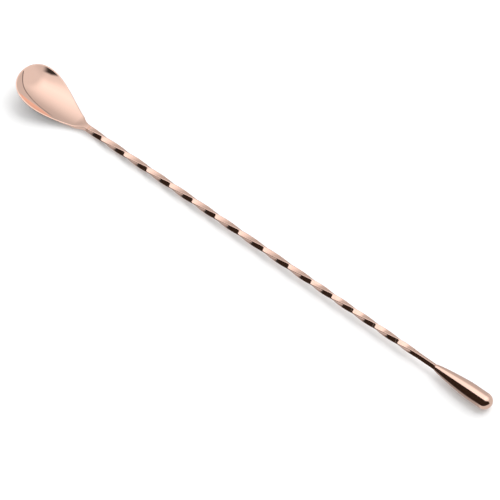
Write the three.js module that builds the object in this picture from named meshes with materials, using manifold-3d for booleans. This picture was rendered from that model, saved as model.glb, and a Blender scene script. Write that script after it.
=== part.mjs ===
// Bar spoon: a forged teardrop bowl, a twisted square bar and a droplet counterweight, joined by brazed
// spigots.
// Millimetres, +Z up. The spoon lies on its back along X, the bowl at -X and the counterweight at +X.
import * as THREE from 'three';
import { mergeVertices } from 'three/addons/utils/BufferGeometryUtils.js';
import Module from 'manifold-3d';

const wasm = await Module();
wasm.setup();

// Driving dimensions. Stations along the spoon are measured from the neck, where bowl and bar meet.
const OVERALL_LENGTH = 335;
const BOWL_LENGTH = 47.9;
const BAR_SIDE = 3.15;
const BAR_CORNER_RADIUS = 0.4;
const WEIGHT_RADIUS = 4.7;
const WEIGHT_LENGTH = 38.9;
const QUARTER_TURN = 16.15;

const SPOON_END = OVERALL_LENGTH - BOWL_LENGTH;
const WEIGHT_START = SPOON_END - WEIGHT_LENGTH;

// Weight: a blunt nose, then a cone that bends at two stations before it reaches full size.
const NOSE_RADIUS = 1.8;
const SHOULDER_RADIUS = 2.3;
const SWELL_START = WEIGHT_START + 0.48 * WEIGHT_LENGTH;
const CONE_END = WEIGHT_START + 0.66 * WEIGHT_LENGTH;

// Bowl: half widths and heights are Bernstein controls, spread evenly along the bowl. A section's depth is
// the crown times its half width squared, inside and outside.
const OUTER_WIDTHS = [38.3, 22.7, 5.6, 2.1];
const RIM_HEIGHTS = [1.3, -2.1, 9.4, 12.6];
const CROWN = 0.032;
const RIM_DROP = 0.55;
const BOWL_CENTRE = -32;

// The rim's flat land has its full width from its start to the neck and narrows towards the tip.
const RIM_LAND = 0.65;
const LAND_START = -36;
const HOLLOW_TIP = RIM_LAND - BOWL_LENGTH;
const HOLLOW_END = -3.2;
const HOLLOW_ROUNDING = 4.5;

// Neck: the bowl narrows and thickens to the bar's square. It is made too long and cut off at the joint.
const NECK_START = -7;
const NECK_DEPTH = BAR_SIDE - RIM_DROP - CROWN * (BAR_SIDE / 2) ** 2;
const NECK_FADE = 6;
const NECK_OVERRUN = 1.2;
const OFFCUT = 20;

// Brazed joints: the bowl's spigot fits a socket in the bar, and the bar's spigot fits one in the weight.
const SPIGOT_RADIUS = 0.8;
const NECK_SPIGOT_LENGTH = 8;
const WEIGHT_SPIGOT_LENGTH = 12;
const SOCKET_SPARE = 0.8;
const CLEARANCE = 0.05;
const BRAZE_WIDTH = 0.8;
const OVERLAP = 1;

// Bar: the twist starts just past the neck, lags a little beyond the middle and runs out short of the weight,
// where the bar thins.
const TWIST_START = 1.2;
const TWIST_LAG = 3.6;
const LAG_CENTRE = 152;
const LAG_SPREAD = 30;
const TWIST_END = 229.5;
const TWIST_RUNOUT = 5.8;
const TAPER_START = 224;
const TAPER_END = 238;
const THIN_SIDE = 2.7;

const BOWL_SIDES = 56;
const BOWL_RINGS = 24;
const ROUND_SIDES = 28;
const CONE_STEPS = 22;
const DOME_STEPS = 10;
const BAR_STEP = 2.3;

const BRIGHT_COPPER = 0xdfa48c;
const SHAFT_COPPER = 0xdba088;
const JOINT_COPPER = 0xd39a80;

const copper = (tint) => new THREE.MeshStandardMaterial({ color: tint, roughness: 0.12, metalness: 1 });

function smoothstep(from, to, value) {
  return THREE.MathUtils.smoothstep(value, from, to);
}

function bernstein([a, b, c, d], t) {
  const s = 1 - t;
  return a * s ** 3 + 3 * b * s ** 2 * t + 3 * c * s * t ** 2 + d * t ** 3;
}

// Solids and booleans

function solid(geometry) {
  const bare = geometry.clone();
  bare.deleteAttribute('normal');
  bare.deleteAttribute('uv');
  const merged = mergeVertices(bare, 1e-5);
  return new wasm.Manifold(new wasm.Mesh({
    numProp: 3,
    vertProperties: new Float32Array(merged.attributes.position.array),
    triVerts: new Uint32Array(merged.index.array),
  }));
}

function geometryOf(manifold) {
  const mesh = manifold.getMesh();
  const geometry = new THREE.BufferGeometry();
  geometry.setAttribute('position', new THREE.BufferAttribute(new Float32Array(mesh.vertProperties), 3));
  geometry.setIndex(new THREE.BufferAttribute(new Uint32Array(mesh.triVerts), 1));
  geometry.computeVertexNormals();
  return geometry;
}

function reshape(geometry, move) {
  const points = geometry.attributes.position;
  const point = new THREE.Vector3();
  for (let i = 0; i < points.count; i += 1) {
    point.fromBufferAttribute(points, i);
    move(point, i);
    points.setXYZ(i, point.x, point.y, point.z);
  }
  return geometry;
}

function rod(radius, from, to) {
  const geometry = new THREE.CylinderGeometry(radius, radius, to - from, ROUND_SIDES);
  geometry.rotateZ(-Math.PI / 2);
  geometry.translate((from + to) / 2, 0, 0);
  return solid(geometry);
}

// Bowl: every cross-section is a parabola hung from the rim, and the neck fills out to a block.

function halfWidth(x, controls, tip, end) {
  const t = THREE.MathUtils.clamp((x - tip) / (end - tip), 0, 1);
  return Math.sqrt(t) * bernstein(controls, t);
}

function towardsBar(x, value) {
  return THREE.MathUtils.lerp(value, BAR_SIDE / 2, smoothstep(NECK_START, 0, x));
}

function outerWidth(x) {
  return towardsBar(x, halfWidth(x, OUTER_WIDTHS, -BOWL_LENGTH, NECK_OVERRUN));
}

// The outer outline less the land, closed by a round end short of the neck.
function innerWidth(x) {
  const width = outerWidth(-BOWL_LENGTH * x / HOLLOW_TIP) - RIM_LAND * smoothstep(HOLLOW_TIP, LAND_START, x);
  const closing = THREE.MathUtils.clamp((HOLLOW_END - x) / HOLLOW_ROUNDING, 0, 1);
  return Math.max(width, 0) * Math.sqrt(closing);
}

function rimHeight(x) {
  return towardsBar(x, bernstein(RIM_HEIGHTS, -x / BOWL_LENGTH));
}

function outerHeight(x, y) {
  const width = outerWidth(x);
  const across = width > 0 ? Math.min(Math.abs(y) / width, 1) : 1;
  const fade = THREE.MathUtils.clamp(1 + x / BOWL_LENGTH, 0, 1) ** NECK_FADE;
  const bowl = CROWN * width ** 2 * (1 - across ** 2);
  const neck = NECK_DEPTH * fade * (1 - across ** NECK_FADE);
  return rimHeight(x) - RIM_DROP - bowl - neck;
}

function innerHeight(x, y) {
  return rimHeight(x) - CROWN * Math.max(innerWidth(x) ** 2 - y ** 2, 0);
}

// The outline from the neck (0) round one side to the tip (1).
function outlinePoint(share, width, tip, end) {
  const x = tip + (end - tip) * (1 + Math.cos(Math.PI * share)) / 2;
  return new THREE.Vector2(x, share === 0 ? 0 : width(x));
}

function bowlBlade() {
  const rimRing = BOWL_RINGS / 2;
  const blade = new THREE.SphereGeometry(1, BOWL_SIDES, BOWL_RINGS);
  const uv = blade.attributes.uv;
  return reshape(blade, (point, i) => {
    const ring = Math.round((1 - uv.getY(i)) * BOWL_RINGS);
    const turn = Math.round(uv.getX(i) * BOWL_SIDES) % BOWL_SIDES;
    const share = Math.min(turn, BOWL_SIDES - turn) / (BOWL_SIDES / 2);
    const side = turn <= BOWL_SIDES / 2 ? 1 : -1;
    const inside = ring < rimRing;
    const reach = inside ? ring / (rimRing - 1) : (BOWL_RINGS - ring) / rimRing;
    const edge = inside
      ? outlinePoint(share, innerWidth, HOLLOW_TIP, HOLLOW_END)
      : outlinePoint(share, outerWidth, -BOWL_LENGTH, NECK_OVERRUN);
    const spread = Math.sin(reach * Math.PI / 2);
    point.x = BOWL_CENTRE + (edge.x - BOWL_CENTRE) * spread;
    point.y = side * edge.y * spread;
    point.z = inside ? innerHeight(point.x, point.y) : outerHeight(point.x, point.y);
  });
}

function spoonBowl() {
  const offcut = new THREE.BoxGeometry(OFFCUT, OFFCUT, OFFCUT);
  offcut.translate(OFFCUT / 2, 0, 0);
  return geometryOf(solid(bowlBlade())
    .subtract(solid(offcut))
    .add(rod(SPIGOT_RADIUS, -OVERLAP, NECK_SPIGOT_LENGTH)));
}

// Bar: a square with rounded corners, turned as it runs along X.

function barSection() {
  const half = BAR_SIDE / 2;
  const flat = half - BAR_CORNER_RADIUS;
  const shape = new THREE.Shape();
  shape.moveTo(flat, -half);
  shape.absarc(flat, -flat, BAR_CORNER_RADIUS, -Math.PI / 2, 0);
  shape.lineTo(half, 0);
  shape.absarc(flat, flat, BAR_CORNER_RADIUS, 0, Math.PI / 2);
  shape.lineTo(0, half);
  shape.absarc(-flat, flat, BAR_CORNER_RADIUS, Math.PI / 2, Math.PI);
  shape.lineTo(-half, 0);
  shape.absarc(-flat, -flat, BAR_CORNER_RADIUS, Math.PI, Math.PI * 1.5);
  shape.lineTo(0, -half);
  shape.lineTo(flat, -half);
  return shape;
}

// Left-hand twist: the bar turns backwards about +X as it runs towards the weight.
function twistAngle(x) {
  const full = THREE.MathUtils.clamp(x, TWIST_START, TWIST_END) - TWIST_START;
  const beyond = Math.max(x - TWIST_END, 0);
  const run = full + TWIST_RUNOUT * (1 - Math.exp(-beyond / TWIST_RUNOUT));
  const lag = TWIST_LAG * Math.exp(-(((x - LAG_CENTRE) / LAG_SPREAD) ** 2));
  return -(run - lag) / QUARTER_TURN * Math.PI / 2;
}

// Size of the bar's square at x, as a share of its full size.
function thinning(x) {
  return THREE.MathUtils.lerp(1, THIN_SIDE / BAR_SIDE, smoothstep(TAPER_START, TAPER_END, x));
}

function bentBar(from, to) {
  const geometry = new THREE.ExtrudeGeometry(barSection(), {
    depth: to - from,
    steps: Math.ceil((to - from) / BAR_STEP),
    curveSegments: 2,
    bevelEnabled: false,
  });
  return solid(reshape(geometry, (point) => {
    const along = from + point.z;
    const across = new THREE.Vector2(point.x, point.y).rotateAround(new THREE.Vector2(), twistAngle(along));
    across.multiplyScalar(thinning(along));
    point.set(along, across.x, across.y);
  }));
}

function twistedBar() {
  const from = BRAZE_WIDTH + 2 * CLEARANCE;
  const to = WEIGHT_START - BRAZE_WIDTH - 2 * CLEARANCE;
  return geometryOf(bentBar(from, to)
    .subtract(rod(SPIGOT_RADIUS + CLEARANCE, from - OVERLAP, NECK_SPIGOT_LENGTH + SOCKET_SPARE))
    .add(rod(SPIGOT_RADIUS, to - OVERLAP, WEIGHT_START + WEIGHT_SPIGOT_LENGTH)));
}

function brazeRing(from) {
  const to = from + BRAZE_WIDTH;
  const bore = rod(SPIGOT_RADIUS + CLEARANCE, from - OVERLAP, to + OVERLAP);
  return geometryOf(bentBar(from, to).subtract(bore));
}

// Round profile of the weight, measured from the neck: a blunt nose and a cone that swells to full size.
const weightProfile = new THREE.CubicBezierCurve(
  new THREE.Vector2(WEIGHT_START, NOSE_RADIUS),
  new THREE.Vector2(WEIGHT_START, SHOULDER_RADIUS),
  new THREE.Vector2(SWELL_START, WEIGHT_RADIUS),
  new THREE.Vector2(CONE_END, WEIGHT_RADIUS),
);

function dropletWeight() {
  const domeCentre = SPOON_END - WEIGHT_RADIUS;
  const outline = [new THREE.Vector2(WEIGHT_START, 0), ...weightProfile.getPoints(CONE_STEPS)];
  for (let i = 0; i < DOME_STEPS; i += 1) {
    const angle = (1 - i / DOME_STEPS) * Math.PI / 2;
    const reach = WEIGHT_RADIUS * Math.cos(angle);
    outline.push(new THREE.Vector2(domeCentre + reach, WEIGHT_RADIUS * Math.sin(angle)));
  }
  outline.push(new THREE.Vector2(SPOON_END, 0));
  const lathe = new THREE.LatheGeometry(outline.map((p) => new THREE.Vector2(p.y, p.x)), ROUND_SIDES);
  lathe.rotateZ(-Math.PI / 2);
  const boreEnd = WEIGHT_START + WEIGHT_SPIGOT_LENGTH + SOCKET_SPARE;
  const bore = rod(SPIGOT_RADIUS + CLEARANCE, WEIGHT_START - OVERLAP, boreEnd);
  return geometryOf(solid(lathe).subtract(bore));
}

const pieces = [
  ['spoon_bowl', spoonBowl(), BRIGHT_COPPER],
  ['neck_braze', brazeRing(CLEARANCE), JOINT_COPPER],
  ['twisted_shaft', twistedBar(), SHAFT_COPPER],
  ['weight_braze', brazeRing(WEIGHT_START - BRAZE_WIDTH - CLEARANCE), JOINT_COPPER],
  ['droplet_weight', dropletWeight(), BRIGHT_COPPER],
];

const spoon = new THREE.Group();
for (const [name, geometry, tint] of pieces) {
  const mesh = new THREE.Mesh(geometry, copper(tint));
  mesh.name = name;
  spoon.add(mesh);
}

// The spoon rests on the bar's corners beside the neck and on the weight, with its origin under the middle.
const barDrop = BAR_SIDE / Math.SQRT2 - BAR_CORNER_RADIUS * (Math.SQRT2 - 1);
const restAngle = Math.atan2(WEIGHT_RADIUS - barDrop, CONE_END - TWIST_START - QUARTER_TURN / 2);
spoon.rotation.y = -restAngle;
const bounds = new THREE.Box3().setFromObject(spoon, true);
const middle = bounds.getCenter(new THREE.Vector3());
spoon.position.set(-middle.x, 0, -bounds.min.z);

export default spoon;
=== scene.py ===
import math

import bmesh
import bpy
from mathutils import Matrix, Vector


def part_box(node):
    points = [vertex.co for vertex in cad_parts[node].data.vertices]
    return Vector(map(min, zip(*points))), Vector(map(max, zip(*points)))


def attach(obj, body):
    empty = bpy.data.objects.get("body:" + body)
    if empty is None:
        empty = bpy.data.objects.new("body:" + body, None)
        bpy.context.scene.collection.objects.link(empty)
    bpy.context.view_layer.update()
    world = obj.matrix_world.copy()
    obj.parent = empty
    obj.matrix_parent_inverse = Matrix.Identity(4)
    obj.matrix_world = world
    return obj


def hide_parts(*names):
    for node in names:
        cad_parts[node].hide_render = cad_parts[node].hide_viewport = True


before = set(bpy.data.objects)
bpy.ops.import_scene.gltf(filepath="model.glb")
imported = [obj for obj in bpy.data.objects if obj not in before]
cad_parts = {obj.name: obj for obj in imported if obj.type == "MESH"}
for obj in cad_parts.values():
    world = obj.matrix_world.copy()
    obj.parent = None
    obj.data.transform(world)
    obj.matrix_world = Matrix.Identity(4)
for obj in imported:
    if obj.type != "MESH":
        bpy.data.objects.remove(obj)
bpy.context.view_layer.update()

MM = 0.001

# Spoon
OVERALL_LENGTH = 335
BOWL_LENGTH = 47.9
BAR_SIDE = 3.15
BAR_CORNER_RADIUS = 0.4
WEIGHT_RADIUS = 4.7
WEIGHT_LENGTH = 38.9
NOSE_RADIUS = 1.8
SHOULDER_RADIUS = 2.3
QUARTER_TURN = 16.15
SPOON_END = OVERALL_LENGTH - BOWL_LENGTH
WEIGHT_START = SPOON_END - WEIGHT_LENGTH
SWELL_START = WEIGHT_START + 0.48 * WEIGHT_LENGTH
CONE_END = WEIGHT_START + 0.66 * WEIGHT_LENGTH

# Bowl: half widths and rim heights are Bernstein controls, spread evenly along the bowl.
OUTER_WIDTHS = (38.3, 22.7, 5.6, 2.1)
RIM_HEIGHTS = (1.3, -2.1, 9.4, 12.6)
CROWN = 0.032
RIM_DROP = 0.55

# The rim's flat land falls a little towards its outer edge, and its edges are rounded.
RIM_LAND = 0.65
LAND_START = -36
LAND_FALL = 0.12
LIP_FALL = 0.035
EDGE_ROUNDING = 0.13
LARGEST_EASE = 0.45

# The hollow ends in a round, with a narrow flat tail on to the neck.
HOLLOW_END = -3.2
HOLLOW_ROUNDING = 4.5
HOLLOW_TAIL = 0.3

# The edge thickens to the bar's side from the neck's start on, and the outline runs into the bar's from the
# merge on.
NECK_START = -14
NECK_MERGE = -7
NECK_OVERRUN = 1.2
NECK_THICKENING = 1.5

# Bar, with a braze ring at each end
BRAZE_WIDTH = 0.9
TWIST_START = 1.2
TWIST_LAG = 3.6
LAG_CENTRE = 152
LAG_SPREAD = 30
TWIST_END = 229.5
TWIST_RUNOUT = 5.8
TAPER_START = 224
TAPER_END = 238
THIN_SIDE = 2.7

# Keeps the smooth shapes inside the box of the CAD's faceted ones: the bowl's outline is a hair smaller, and
# the spoon lies a hair higher.
FIT = 0.9998
LIFT = 0.003 * MM

# Fineness of the meshes
BOWL_STATIONS = 240
ACROSS_STEPS = 56
EDGE_STEPS = 5
SLOPE_STEP = 0.01
BAR_STEP = 0.35
BAR_CORNER_STEPS = 6
BAR_FLAT_STEPS = 8
CONE_STEPS = 96
DOME_STEPS = 40
WEIGHT_SIDES = 128
WELD_DISTANCE = 2e-7
SLIVER_LENGTH = 1e-7


def clamp(value, low=0.0, high=1.0):
    return max(low, min(high, value))


def smoothstep(start, end, value):
    share = clamp((value - start) / (end - start))
    return share * share * (3 - 2 * share)


def mix(a, b, share):
    return a + (b - a) * share


def bernstein(controls, t):
    a, b, c, d = controls
    s = 1 - t
    return a * s**3 + 3 * b * s**2 * t + 3 * c * s * t**2 + d * t**3


# Laying the spoon down: it rests on the bar's corners beside the neck and on the weight.

BAR_DROP = BAR_SIDE / math.sqrt(2) - BAR_CORNER_RADIUS * (math.sqrt(2) - 1)
REST_ANGLE = math.atan2(WEIGHT_RADIUS - BAR_DROP, CONE_END - TWIST_START - QUARTER_TURN / 2)


def resting_place():
    """Matrix from spoon millimetres to metres on the floor, set by the box of the CAD's weight."""
    low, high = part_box("droplet_weight")
    pitch = Matrix.Rotation(-REST_ANGLE, 4, "Y")
    dome = pitch @ Vector((SPOON_END - WEIGHT_RADIUS, 0, 0))
    touching = pitch @ Vector((CONE_END, 0, -WEIGHT_RADIUS))
    shift = Vector((high.x - (dome.x + WEIGHT_RADIUS) * MM, 0, low.z - touching.z * MM + LIFT))
    return Matrix.Translation(shift) @ Matrix.Scale(MM, 4) @ pitch


PLACE = resting_place()


def loop_mesh(name, loops, close_start=True, close_end=True):
    """A smooth closed body through a row of loops with equal numbers of points."""
    count = len(loops[0])
    points = [PLACE @ Vector(p) for loop in loops for p in loop]
    faces = []
    for i in range(len(loops) - 1):
        for j in range(count):
            k = (j + 1) % count
            faces.append((i * count + j, i * count + k, (i + 1) * count + k, (i + 1) * count + j))
    if close_start:
        faces.append(tuple(reversed(range(count))))
    if close_end:
        faces.append(tuple(range((len(loops) - 1) * count, len(loops) * count)))
    mesh = bpy.data.meshes.new(name)
    mesh.from_pydata(points, [], faces)
    body = bmesh.new()
    body.from_mesh(mesh)
    bmesh.ops.remove_doubles(body, verts=body.verts, dist=WELD_DISTANCE)
    bmesh.ops.dissolve_degenerate(body, edges=body.edges, dist=SLIVER_LENGTH)
    bmesh.ops.recalc_face_normals(body, faces=body.faces)
    for face in body.faces:
        face.smooth = len(face.verts) <= 4
    for edge in body.edges:
        edge.smooth = all(len(face.verts) <= 4 for face in edge.link_faces)
    body.to_mesh(mesh)
    body.free()
    obj = bpy.data.objects.new(name, mesh)
    bpy.context.scene.collection.objects.link(obj)
    return obj


# Bowl

def half_width(x, controls, tip, end):
    t = clamp((x - tip) / (end - tip))
    return math.sqrt(t) * bernstein(controls, t)


def outer_width(x):
    width = half_width(x, OUTER_WIDTHS, -BOWL_LENGTH, NECK_OVERRUN)
    return mix(width, BAR_SIDE / 2, smoothstep(NECK_MERGE, 0, x))


def inner_width(x):
    """The outer outline less the rim's land, closed by a round end short of the neck."""
    tip = RIM_LAND - BOWL_LENGTH
    width = outer_width(-BOWL_LENGTH * x / tip) - RIM_LAND * smoothstep(tip, LAND_START, x)
    return max(width, 0) * math.sqrt(clamp((HOLLOW_END - x) / HOLLOW_ROUNDING))


def tailed_width(x):
    """The hollow's half width, with a narrow flat tail on to the neck."""
    tail = HOLLOW_TAIL * smoothstep(2 * HOLLOW_END, HOLLOW_END, x)
    return math.hypot(inner_width(x), tail)


def rim_height(x):
    rim = bernstein(RIM_HEIGHTS, -x / BOWL_LENGTH)
    return mix(rim, BAR_SIDE / 2, smoothstep(NECK_MERGE, 0, x))


def inner_height(x, y):
    return rim_height(x) - CROWN * max(inner_width(x) ** 2 - y**2, 0)


def side_drop(x):
    return mix(RIM_DROP, BAR_SIDE, smoothstep(NECK_START, 0, x) ** NECK_THICKENING)


def outer_height(x, y):
    crown = CROWN * (1 - smoothstep(NECK_START, 0, x))
    return rim_height(x) - side_drop(x) - crown * max(outer_width(x) ** 2 - y**2, 0)


def outline(t, width, tip):
    """Point and outward direction on the +Y side of an outline, for t from the tip (0) to the neck (1)."""
    x = tip * (1 + math.cos(math.pi * t)) / 2
    ahead = min(x + SLOPE_STEP, 0)
    behind = max(x - SLOPE_STEP, tip)
    along = Vector((ahead - behind, width(ahead) - width(behind)))
    if t == 0:
        along = Vector((0, 1))
    along.normalize()
    return Vector((x, width(x))), Vector((-along.y, along.x))


def rounded(before, corner, after):
    """Points of a quadratic curve round a corner."""
    points = []
    for i in range(EDGE_STEPS + 1):
        t = i / EDGE_STEPS
        points.append(before * (1 - t) ** 2 + corner * 2 * t * (1 - t) + after * t * t)
    return points


def rim_points(t):
    """The rim on the +Y side, from the edge of the hollow over the land and down to the underside."""
    inner, inner_out = outline(t, tailed_width, RIM_LAND - BOWL_LENGTH)
    outer, outer_out = outline(t, outer_width, -BOWL_LENGTH)
    outer *= FIT
    neck_share = smoothstep(NECK_START, 0, outer.x)
    lip = inner_out * EDGE_ROUNDING
    edge = outer_out * mix(EDGE_ROUNDING, BAR_CORNER_RADIUS, neck_share)
    lip_fall = LIP_FALL * (1 - neck_share)
    land_fall = LAND_FALL * (1 - neck_share)
    drop = side_drop(outer.x)
    ease = min(mix(EDGE_ROUNDING, BAR_CORNER_RADIUS, neck_share) / drop, LARGEST_EASE)

    def top(plan, fall=0.0):
        return Vector((plan.x, plan.y, rim_height(plan.x) - fall))

    def hollow(plan):
        return Vector((plan.x, plan.y, inner_height(plan.x, plan.y)))

    def side(plan, share):
        return Vector((plan.x, plan.y, rim_height(plan.x) - side_drop(plan.x) * share))

    def under(plan):
        return Vector((plan.x, plan.y, outer_height(plan.x, plan.y)))

    upper_side = side(outer, ease + land_fall / drop)
    points = rounded(hollow(inner - lip), top(inner), top(inner + lip, lip_fall))
    points += rounded(top(outer - edge, land_fall), top(outer, land_fall), upper_side)
    points += rounded(side(outer, 1 - ease), side(outer, 1), under(outer - edge))
    return points


def across(start, end, height):
    """Points between the two sides of a section, left out at both ends."""
    points = []
    for i in range(1, ACROSS_STEPS):
        share = (1 - math.cos(math.pi * i / ACROSS_STEPS)) / 2
        x = mix(start.x, end.x, share)
        y = mix(start.y, end.y, share)
        points.append(Vector((x, y, height(x, y))))
    return points


def mirrored(points):
    return [Vector((p.x, -p.y, p.z)) for p in reversed(points)]


def bowl():
    loops = []
    for i in range(BOWL_STATIONS + 1):
        plus = rim_points(i / BOWL_STATIONS)
        minus = mirrored(plus)
        underside = across(plus[-1], minus[0], outer_height)
        inside = across(minus[-1], plus[0], inner_height)
        loops.append(plus + underside + minus + inside)
    return loop_mesh("bowl", loops, close_start=False)


# Bar

def twist_angle(x):
    """Left-hand twist, with a lag past the middle; it runs out before the weight."""
    full = clamp(x, TWIST_START, TWIST_END) - TWIST_START
    beyond = max(x - TWIST_END, 0)
    run = full + TWIST_RUNOUT * (1 - math.exp(-beyond / TWIST_RUNOUT))
    lag = TWIST_LAG * math.exp(-(((x - LAG_CENTRE) / LAG_SPREAD) ** 2))
    return -(run - lag) / QUARTER_TURN * math.pi / 2


def bar_section(x):
    """The rounded square section at x, turned by the twist and thinned towards the weight."""
    flat = BAR_SIDE / 2 - BAR_CORNER_RADIUS
    points = []
    for quarter in range(4):
        start = -math.pi / 2 + quarter * math.pi / 2
        centre = Vector((flat, -flat))
        centre.rotate(Matrix.Rotation(quarter * math.pi / 2, 2))
        for i in range(BAR_CORNER_STEPS + 1):
            angle = start + math.pi / 2 * i / BAR_CORNER_STEPS
            points.append(centre + BAR_CORNER_RADIUS * Vector((math.cos(angle), math.sin(angle))))
        last = points[-1]
        along_flat = Vector((math.cos(start + math.pi), math.sin(start + math.pi)))
        step = along_flat * (2 * flat / BAR_FLAT_STEPS)
        points += [last + step * i for i in range(1, BAR_FLAT_STEPS)]
    turn = Matrix.Rotation(twist_angle(x), 2)
    size = mix(1, THIN_SIDE / BAR_SIDE, smoothstep(TAPER_START, TAPER_END, x))
    loop = []
    for p in points:
        q = turn @ p * size
        loop.append(Vector((x, q.x, q.y)))
    return loop


def bar(name, start, end):
    count = max(2, math.ceil((end - start) / BAR_STEP))
    return loop_mesh(name, [bar_section(mix(start, end, i / count)) for i in range(count + 1)])


# Weight

def weight_outline():
    """(x, radius) from the thin end to the dome, short of its pole."""
    stations = (WEIGHT_START, WEIGHT_START, SWELL_START, CONE_END)
    radii = (NOSE_RADIUS, SHOULDER_RADIUS, WEIGHT_RADIUS, WEIGHT_RADIUS)
    points = []
    for i in range(CONE_STEPS + 1):
        t = i / CONE_STEPS
        points.append((bernstein(stations, t), bernstein(radii, t)))
    dome = SPOON_END - WEIGHT_RADIUS
    for i in range(1, DOME_STEPS):
        angle = math.pi / 2 * (1 - i / DOME_STEPS)
        points.append((dome + WEIGHT_RADIUS * math.cos(angle), WEIGHT_RADIUS * math.sin(angle)))
    return points


def weight():
    turns = [2 * math.pi * i / WEIGHT_SIDES for i in range(WEIGHT_SIDES)]
    loops = []
    for x, radius in weight_outline():
        loops.append([Vector((x, radius * math.cos(a), radius * math.sin(a))) for a in turns])
    loops.append([Vector((SPOON_END, 0, 0))] * WEIGHT_SIDES)
    return loop_mesh("weight", loops, close_end=False)


# Copper plate

CLOUD_SCALE = 60
CLOUD_DETAIL = 3
WEAR_SCALE = 220
WEAR_DETAIL = 5
WEAR_RANGE = (0.35, 0.75)
WEAR_ROUGHNESS = 0.03
SCRATCH_DETAIL = 2
SCRATCH_STRENGTH = 0.02
SCRATCH_DEPTH = 0.00002


def plate(name, tint, dark_tint, roughness, scratch_stretch):
    """Polished copper plate: faint warm and cool clouds, handling marks and fine polishing lines."""
    material = bpy.data.materials.new(name)
    material.use_nodes = True
    nodes = material.node_tree.nodes
    link = material.node_tree.links.new
    shader = nodes["Principled BSDF"]
    shader.inputs["Metallic"].default_value = 1.0
    place = nodes.new("ShaderNodeTexCoord")

    def noise(vector, scale, detail):
        node = nodes.new("ShaderNodeTexNoise")
        node.inputs["Scale"].default_value = scale
        node.inputs["Detail"].default_value = detail
        link(vector, node.inputs["Vector"])
        return node.outputs["Fac"]

    colour = nodes.new("ShaderNodeMix")
    colour.data_type = "RGBA"
    colour.inputs["A"].default_value = (*tint, 1)
    colour.inputs["B"].default_value = (*dark_tint, 1)
    link(noise(place.outputs["Object"], CLOUD_SCALE, CLOUD_DETAIL), colour.inputs["Factor"])
    link(colour.outputs["Result"], shader.inputs["Base Color"])

    gloss = nodes.new("ShaderNodeMapRange")
    gloss.inputs["From Min"].default_value = WEAR_RANGE[0]
    gloss.inputs["From Max"].default_value = WEAR_RANGE[1]
    gloss.inputs["To Min"].default_value = roughness
    gloss.inputs["To Max"].default_value = roughness + WEAR_ROUGHNESS
    link(noise(place.outputs["Object"], WEAR_SCALE, WEAR_DETAIL), gloss.inputs["Value"])
    link(gloss.outputs["Result"], shader.inputs["Roughness"])

    stretch = nodes.new("ShaderNodeMapping")
    stretch.inputs["Scale"].default_value = scratch_stretch
    link(place.outputs["Object"], stretch.inputs["Vector"])
    bump = nodes.new("ShaderNodeBump")
    bump.inputs["Strength"].default_value = SCRATCH_STRENGTH
    bump.inputs["Distance"].default_value = SCRATCH_DEPTH
    link(noise(stretch.outputs["Vector"], 1, SCRATCH_DETAIL), bump.inputs["Height"])
    link(bump.outputs["Normal"], shader.inputs["Normal"])
    return material


BRIGHT = (0.925, 0.64, 0.53)
TARNISHED = (0.9, 0.61, 0.5)
HEATED = (0.88, 0.50, 0.36)

bowl_plate = plate("bowl_copper", BRIGHT, TARNISHED, roughness=0.02, scratch_stretch=(400, 6000, 6000))
shaft_plate = plate("shaft_copper", BRIGHT, TARNISHED, roughness=0.08, scratch_stretch=(300, 7000, 7000))
weight_plate = plate("weight_copper", BRIGHT, TARNISHED, roughness=0.06, scratch_stretch=(6000, 500, 500))
braze_plate = plate("braze_copper", TARNISHED, HEATED, roughness=0.12, scratch_stretch=(3000, 3000, 3000))

BAR_END = WEIGHT_START - BRAZE_WIDTH
PIECES = (
    (bowl(), "spoon_bowl", "bowl_plate", bowl_plate),
    (bar("neck_joint", 0, BRAZE_WIDTH), "neck_braze", "braze_plate", braze_plate),
    (bar("bar", BRAZE_WIDTH, BAR_END), "twisted_shaft", "shaft_plate", shaft_plate),
    (bar("weight_joint", BAR_END, WEIGHT_START), "weight_braze", "braze_plate", braze_plate),
    (weight(), "droplet_weight", "weight_plate", weight_plate),
)
for piece, node, slot, material in PIECES:
    piece.data.materials.append(material)
    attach(piece, "root")
    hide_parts(node)


# Studio: everything below is only scenery

def polygon(name, corners, material):
    mesh = bpy.data.meshes.new(name)
    mesh.from_pydata(corners, [], [tuple(range(len(corners)))])
    mesh.materials.append(material)
    obj = bpy.data.objects.new(name, mesh)
    bpy.context.scene.collection.objects.link(obj)
    return obj


def level_corners(west, east, front, back, height):
    return [(west, front, height), (east, front, height), (east, back, height), (west, back, height)]


def upright_corners(y, profile):
    return [(x, y, z) for x, z in profile]


def pale_paper():
    material = bpy.data.materials.new("pale_paper")
    material.use_nodes = True
    shader = material.node_tree.nodes["Principled BSDF"]
    shader.inputs["Base Color"].default_value = (0.9, 0.9, 0.9, 1)
    shader.inputs["Roughness"].default_value = 1
    shader.inputs["Specular IOR Level"].default_value = 0
    return material


def glowing(name, strength, tint=(1, 1, 1)):
    """A surface that only glows."""
    material = bpy.data.materials.new(name)
    material.use_nodes = True
    nodes = material.node_tree.nodes
    nodes.clear()
    glow = nodes.new("ShaderNodeEmission")
    glow.inputs["Color"].default_value = (*tint, 1)
    glow.inputs["Strength"].default_value = strength
    output = nodes.new("ShaderNodeOutputMaterial")
    material.node_tree.links.new(glow.outputs["Emission"], output.inputs["Surface"])
    return material


def mirrored_only(obj):
    """Shows the card in the metal and nowhere else."""
    obj.visible_camera = False
    obj.visible_diffuse = False
    obj.visible_shadow = False
    obj.visible_transmission = False
    return obj


# The floor takes the spoon's shadow and isn't mirrored in the metal: the cards below stand for what is.
FLOOR_HALF = 12
FLOOR_DEPTH = -0.0001
floor_corners = level_corners(-FLOOR_HALF, FLOOR_HALF, -FLOOR_HALF, FLOOR_HALF, FLOOR_DEPTH)
floor = polygon("floor", floor_corners, pale_paper())
floor.visible_glossy = False

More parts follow.
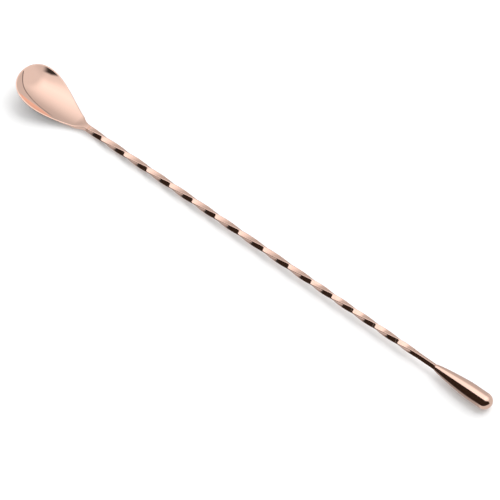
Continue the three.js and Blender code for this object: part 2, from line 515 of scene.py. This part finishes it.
# Nearly black flags stand on the floor in front of the spoon and beyond the weight.
FLAG_Y = -0.02
FLAG_END = 0.205
FLAG_HEIGHT = 0.06
FRONT_FLAG_PROFILE = (
    (-0.2, 0), (FLAG_END, 0), (FLAG_END, FLAG_HEIGHT), (0.13, 0.054),
    (0.08, 0.039), (0.01, 0.034), (-0.107, 0.02), (-0.2, 0.008),
)
END_FLAG_CORNERS = (
    (FLAG_END, FLAG_Y, 0), (FLAG_END, 0.008, 0), (FLAG_END, 0.008, 0.03), (FLAG_END, FLAG_Y, FLAG_HEIGHT),
)
black = glowing("black_flag", strength=0.03, tint=(1, 0.65, 0.45))
mirrored_only(polygon("front_flag", upright_corners(FLAG_Y, FRONT_FLAG_PROFILE), black))
mirrored_only(polygon("end_flag", END_FLAG_CORNERS, black))

# A slit of light just inside the front flag
SLIT_Y = -0.0195
SLIT_PROFILE = ((0.05, 0.0235), (0.118, 0.0235), (0.118, 0.0242), (0.05, 0.0242))
mirrored_only(polygon("slit", upright_corners(SLIT_Y, SLIT_PROFILE), glowing("slit_glow", strength=0.5)))

# A dark card on the floor stands for the bowl's shadow.
SHADE_CORNERS = ((-0.185, -0.026, 0), (-0.134, -0.02, 0), (-0.134, 0.012, 0), (-0.185, 0.012, 0))
mirrored_only(polygon("bowl_shade", SHADE_CORNERS, glowing("shade", strength=0.1)))


def light_veil(name, corners, strength):
    """A clear sheet over the bar that adds a soft band of light, brightest along its middle."""
    material = bpy.data.materials.new(name)
    material.use_nodes = True
    nodes = material.node_tree.nodes
    link = material.node_tree.links.new
    nodes.clear()
    place = nodes.new("ShaderNodeTexCoord")
    split = nodes.new("ShaderNodeSeparateXYZ")
    link(place.outputs["Generated"], split.inputs["Vector"])
    wave = nodes.new("ShaderNodeMath")
    wave.operation = "MULTIPLY"
    wave.inputs[1].default_value = math.pi
    link(split.outputs["Y"], wave.inputs[0])
    band = nodes.new("ShaderNodeMath")
    band.operation = "SINE"
    link(wave.outputs["Value"], band.inputs[0])
    level = nodes.new("ShaderNodeMath")
    level.operation = "MULTIPLY"
    level.inputs[1].default_value = strength
    link(band.outputs["Value"], level.inputs[0])
    glow = nodes.new("ShaderNodeEmission")
    link(level.outputs["Value"], glow.inputs["Strength"])
    both = nodes.new("ShaderNodeAddShader")
    link(glow.outputs["Emission"], both.inputs[0])
    link(nodes.new("ShaderNodeBsdfTransparent").outputs["BSDF"], both.inputs[1])
    output = nodes.new("ShaderNodeOutputMaterial")
    link(both.outputs["Shader"], output.inputs["Surface"])
    return mirrored_only(polygon(name, corners, material))


VEIL_HEIGHT = 0.05
VEIL_STRENGTH = 0.35
veil_corners = level_corners(west=0.03, east=0.22, front=-0.01, back=0.045, height=VEIL_HEIGHT)
light_veil("light_veil", veil_corners, VEIL_STRENGTH)


def soft_light(name, location, size, power):
    light = bpy.data.lights.new(name, "AREA")
    light.shape = "RECTANGLE"
    light.size, light.size_y = size
    light.energy = power
    obj = bpy.data.objects.new(name, light)
    bpy.context.scene.collection.objects.link(obj)
    obj.location = location
    obj.rotation_mode = "QUATERNION"
    obj.rotation_quaternion = (-Vector(location)).to_track_quat("-Z", "Y")
    obj.visible_glossy = False
    obj.visible_camera = False
    return obj


soft_light("key", location=(0.4, 3.6, 3.2), size=(6.5, 6.5), power=265)

# World: plain white to the eye, a soft studio in the metal. The studio is a ridge of light over the spoon
# that fades to the back wall and, on the camera's side, to black; the floor shows dimly below.
# STUDIO holds angles across the spoon, from 0 overhead and positive to the front, and the level at each.
AMBIENT = 0.9
STUDIO = (
    (-180, 0.45), (-150, 0.5), (-110, 0.55), (-88, 0.58), (-64, 0.66), (-44, 0.84),
    (-28, 0.99), (-12, 1.12), (2, 1.22), (16, 1.3), (28, 1.22), (40, 0.96),
    (49.5, 0.86), (53, 0.04), (100, 0.03), (115, 0.36), (130, 0.44), (170, 0.42),
)
RIDGE_SKEW = 0.6

# Towards +X the studio gives way to an even level, lower to the front.
EAST_LEVEL = 0.85
EAST_FRONT_LEVEL = 0.69
EAST_BLEND = (math.radians(22), math.radians(38))
EAST_FRONT_BLEND = (math.radians(5), math.radians(45))

# A thin dark gap follows a tilted great circle, except towards -X, and below it the light is even.
GAP_RISE = math.radians(19.3)
GAP_TURN = math.radians(60)
GAP_HALF = 0.028
GAP_END = (-0.33, -0.27)
BEYOND_GAP = 0.7

world = bpy.data.worlds.new("studio")
bpy.context.scene.world = world
world.use_nodes = True
sky = world.node_tree.nodes["Background"]
sky.inputs["Color"].default_value = (1, 1, 1, 1)


def feed(socket, value):
    if isinstance(value, (int, float)):
        socket.default_value = value
    else:
        world.node_tree.links.new(value, socket)


def sky_math(operation, first, second=0.0):
    node = world.node_tree.nodes.new("ShaderNodeMath")
    node.operation = operation
    feed(node.inputs[0], first)
    feed(node.inputs[1], second)
    return node.outputs["Value"]


def sky_range(value, start, end, low=0.0, high=1.0):
    node = world.node_tree.nodes.new("ShaderNodeMapRange")
    node.interpolation_type = "SMOOTHSTEP"
    feed(node.inputs["Value"], value)
    node.inputs["From Min"].default_value = start
    node.inputs["From Max"].default_value = end
    node.inputs["To Min"].default_value = low
    node.inputs["To Max"].default_value = high
    return node.outputs["Result"]


def blend_sky(low, high, share):
    rest = sky_math("SUBTRACT", 1.0, share)
    return sky_math("ADD", sky_math("MULTIPLY", low, rest), sky_math("MULTIPLY", high, share))


def ridge_level(skewed_angle):
    """The studio's level at an angle across the spoon, from STUDIO."""
    ramp = world.node_tree.nodes.new("ShaderNodeValToRGB")
    stops = ramp.color_ramp.elements
    while len(stops) > 1:
        stops.remove(stops[-1])
    for i, (angle, level) in enumerate(STUDIO):
        place = (angle + 180) / 360
        stop = stops[0] if i == 0 else stops.new(place)
        stop.position = place
        stop.color = (level, level, level, 1)
    feed(ramp.inputs["Fac"], sky_math("ADD", sky_math("DIVIDE", skewed_angle, 2 * math.pi), 0.5))
    return ramp.outputs["Color"]


def studio_level():
    place = world.node_tree.nodes.new("ShaderNodeTexCoord")
    split = world.node_tree.nodes.new("ShaderNodeSeparateXYZ")
    world.node_tree.links.new(place.outputs["Generated"], split.inputs["Vector"])
    east, back_side, height = (split.outputs[axis] for axis in "XYZ")
    across_angle = sky_math("ARCTAN2", sky_math("MULTIPLY", back_side, -1.0), height)
    along_angle = sky_math("ARCSINE", east)
    ridge = ridge_level(sky_math("ADD", across_angle, sky_math("MULTIPLY", along_angle, RIDGE_SKEW)))
    east_level = sky_range(across_angle, *EAST_FRONT_BLEND, EAST_LEVEL, EAST_FRONT_LEVEL)
    level = blend_sky(ridge, east_level, sky_range(along_angle, *EAST_BLEND))
    tilt = world.node_tree.nodes.new("ShaderNodeVectorMath")
    tilt.operation = "DOT_PRODUCT"
    world.node_tree.links.new(place.outputs["Generated"], tilt.inputs[0])
    tilt.inputs[1].default_value = (-math.sin(GAP_RISE) * math.cos(GAP_TURN),
                                    -math.sin(GAP_RISE) * math.sin(GAP_TURN),
                                    math.cos(GAP_RISE))
    over_gap = tilt.outputs["Value"]
    eastern = sky_range(east, *GAP_END)
    below_gap = sky_math("MULTIPLY", eastern, sky_range(over_gap, 0.0, -GAP_HALF))
    level = blend_sky(level, BEYOND_GAP, below_gap)
    gap_depth = sky_range(sky_math("ABSOLUTE", over_gap), 0.0, GAP_HALF, 1.0, 0.0)
    gap = sky_math("MULTIPLY", eastern, gap_depth)
    return sky_math("MULTIPLY", level, sky_math("SUBTRACT", 1.0, gap))


path = world.node_tree.nodes.new("ShaderNodeLightPath")
plain = blend_sky(AMBIENT, 1.0, path.outputs["Is Camera Ray"])
feed(sky.inputs["Strength"], blend_sky(plain, studio_level(), path.outputs["Is Glossy Ray"]))

# Camera: a long lens, looking down on the spoon from in front and from the weight's side
CAMERA_TURN = math.radians(39.98)
CAMERA_RISE = math.radians(56)
CAMERA_DISTANCE = 6
CAMERA_AIM = Vector((-0.0001, -0.0036, 0))
SENSOR_WIDTH = 36
PICTURE_WIDTH = 0.274

camera_data = bpy.data.cameras.new("camera")
camera = bpy.data.objects.new("camera", camera_data)
bpy.context.scene.collection.objects.link(camera)
bpy.context.scene.camera = camera
back = Vector((math.sin(CAMERA_TURN) * math.cos(CAMERA_RISE),
               -math.cos(CAMERA_TURN) * math.cos(CAMERA_RISE),
               math.sin(CAMERA_RISE)))
camera.location = CAMERA_AIM + back * CAMERA_DISTANCE
camera.rotation_mode = "QUATERNION"
camera.rotation_quaternion = (-back).to_track_quat("-Z", "Y")
camera_data.sensor_width = SENSOR_WIDTH
camera_data.lens = SENSOR_WIDTH * CAMERA_DISTANCE / PICTURE_WIDTH
camera_data.dof.use_dof = False

bpy.context.scene.view_settings.view_transform = "Standard"
